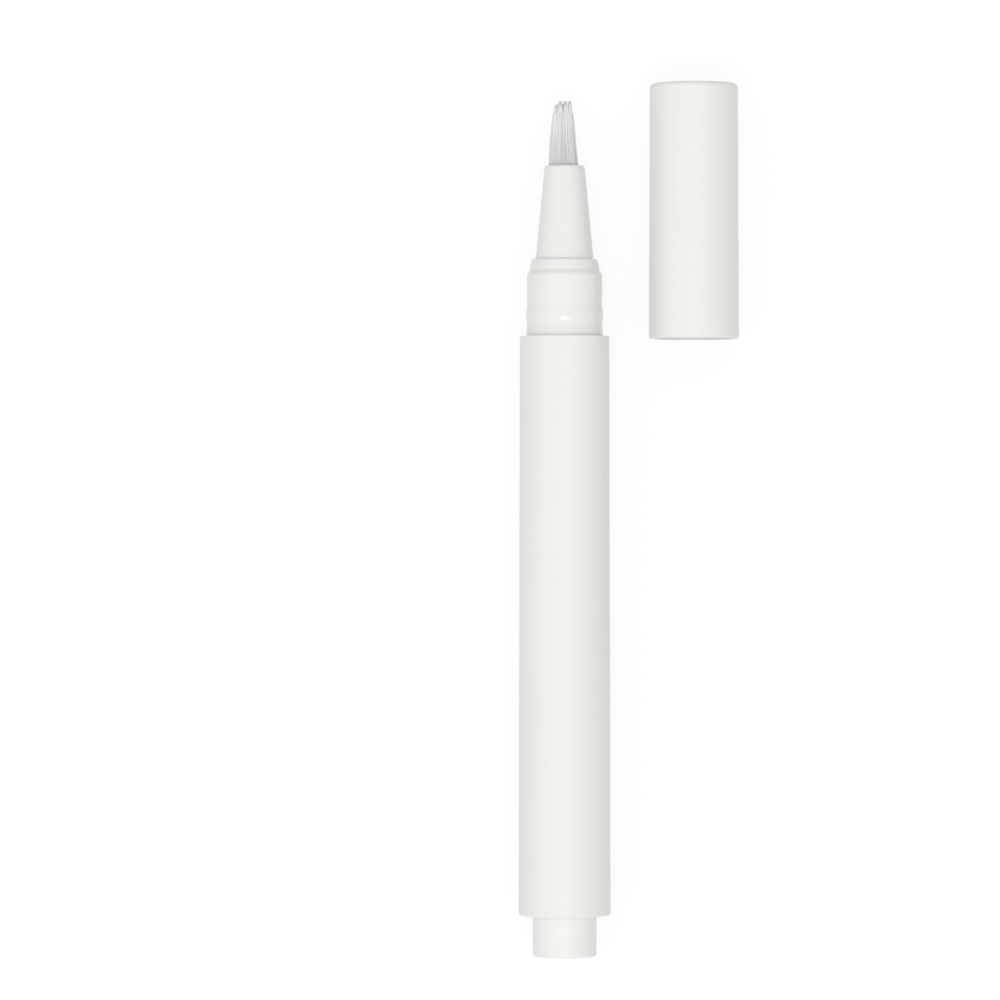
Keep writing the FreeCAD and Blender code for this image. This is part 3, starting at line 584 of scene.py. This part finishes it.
# Light: a pale dome that is brighter towards the button's end and a little at the left, a very broad lamp
# overhead, and far off a wide softbox towards the button's end
DOME = 0.665
DOME_LEAN = (-0.05, -0.27, 0)
OVERHEAD_STRENGTH = 0.66
OVERHEAD_SPREAD = math.radians(100)
OVERHEAD_TILT = math.radians(12)
SOFTBOX_POWER = 15.5
SOFTBOX_WIDTH = 1200 * MM
SOFTBOX_DEPTH = 300 * MM
SOFTBOX_DISTANCE = 3.0
SOFTBOX_TILT = math.radians(17)

# The floor: its size, its paint, its glow where it is seen, and how much of its shadow shows there
FLOOR_SIZE = 6.0
FLOOR_PAINT = 0.6
FLOOR_GLOW = 1.15
FLOOR_SHADOW_SHARE = 0.25


def plain_sight(tree):
    """1 for rays that show the background to the camera, also in gloss and through clear parts."""
    path = tree.nodes.new("ShaderNodeLightPath")
    share = path.outputs["Is Camera Ray"]
    for ray in ("Is Glossy Ray", "Is Transmission Ray"):
        either = tree.nodes.new("ShaderNodeMath")
        either.operation = "MAXIMUM"
        tree.links.new(share, either.inputs[0])
        tree.links.new(path.outputs[ray], either.inputs[1])
        share = either.outputs["Value"]
    return share


def mix_shaders(tree, share, first, second):
    """First shader where the share is 0 and second where it is 1. The share is a number or a socket."""
    node = tree.nodes.new("ShaderNodeMixShader")
    share_in, first_in, second_in = node.inputs
    if isinstance(share, float):
        share_in.default_value = share
    else:
        tree.links.new(share, share_in)
    tree.links.new(first, first_in)
    tree.links.new(second, second_in)
    return node.outputs["Shader"]


def add_world():
    """Pale light from all round, seen as plain white."""
    world = bpy.data.worlds.new("pale dome")
    bpy.context.scene.world = world
    tree, surface = fresh_tree(world, "ShaderNodeOutputWorld")
    place = tree.nodes.new("ShaderNodeTexCoord")
    lean = tree.nodes.new("ShaderNodeVectorMath")
    lean.operation = "DOT_PRODUCT"
    tree.links.new(place.outputs["Generated"], lean.inputs[0])
    lean.inputs[1].default_value = DOME_LEAN
    # The strength is the dome's own, and as much again times the lean
    strength = tree.nodes.new("ShaderNodeMath")
    strength.operation = "MULTIPLY_ADD"
    tree.links.new(lean.outputs["Value"], strength.inputs[0])
    strength.inputs[1].default_value = DOME
    strength.inputs[2].default_value = DOME
    light = tree.nodes.new("ShaderNodeBackground")
    tree.links.new(strength.outputs["Value"], light.inputs["Strength"])
    seen = tree.nodes.new("ShaderNodeBackground")
    seen.inputs["Strength"].default_value = 1
    for background in (light, seen):
        background.inputs["Color"].default_value = (1, 1, 1, 1)
    sky = mix_shaders(
        tree, plain_sight(tree), light.outputs["Background"], seen.outputs["Background"]
    )
    tree.links.new(sky, surface)


def add_floor():
    """A white floor under the pen and cap, with their faint shadow on it."""
    material = bpy.data.materials.new("white floor")
    tree, surface = fresh_tree(material, "ShaderNodeOutputMaterial")
    paint = tree.nodes.new("ShaderNodeBsdfDiffuse")
    paint.inputs["Color"].default_value = (FLOOR_PAINT, FLOOR_PAINT, FLOOR_PAINT, 1)
    glow = tree.nodes.new("ShaderNodeEmission")
    glow.inputs["Strength"].default_value = FLOOR_GLOW
    seen = mix_shaders(
        tree, FLOOR_SHADOW_SHARE, glow.outputs["Emission"], paint.outputs["BSDF"]
    )
    lit = mix_shaders(tree, plain_sight(tree), paint.outputs["BSDF"], seen)
    tree.links.new(lit, surface)
    half = FLOOR_SIZE / 2
    data = bpy.data.meshes.new("floor")
    corners = [(-half, -half, 0), (half, -half, 0), (half, half, 0), (-half, half, 0)]
    data.from_pydata(corners, [], [(0, 1, 2, 3)])
    data.materials.append(material)
    floor = add_object("floor", data)


def add_lamps():
    """A very broad lamp overhead, a little from the left, and a wide far softbox towards the button's end."""
    broad = bpy.data.lights.new("overhead", "SUN")
    broad.energy = OVERHEAD_STRENGTH
    broad.angle = OVERHEAD_SPREAD
    overhead = add_object("overhead", broad)
    overhead.rotation_euler = (0, -OVERHEAD_TILT, 0)
    wide = bpy.data.lights.new("softbox", "AREA")
    wide.shape = "RECTANGLE"
    wide.size = SOFTBOX_WIDTH
    wide.size_y = SOFTBOX_DEPTH
    wide.energy = SOFTBOX_POWER
    softbox = add_object("softbox", wide)
    softbox.location = (
        pen_x,
        -SOFTBOX_DISTANCE * math.sin(SOFTBOX_TILT),
        SOFTBOX_DISTANCE * math.cos(SOFTBOX_TILT),
    )
    softbox.rotation_euler = (-SOFTBOX_TILT, 0, 0)


def add_camera():
    """Straight above, framed as the photograph is."""
    lens = bpy.data.cameras.new("camera")
    lens.sensor_width = SENSOR_MM
    lens.lens = SENSOR_MM * CAMERA_HEIGHT / (FRAME_PIXELS * PIXEL)
    camera = add_object("camera", lens)
    centre = FRAME_PIXELS / 2
    camera.location = (
        pen_x - (PEN_COLUMN - centre) * PIXEL,
        button_low.y + (BUTTON_ROW - centre) * PIXEL,
        pen_z + CAMERA_HEIGHT,
    )
    bpy.context.scene.camera = camera


dress_nodes()
add_bristles()
add_spring()
add_world()
add_floor()
add_lamps()
add_camera()
bpy.context.scene.view_settings.view_transform = "Standard"
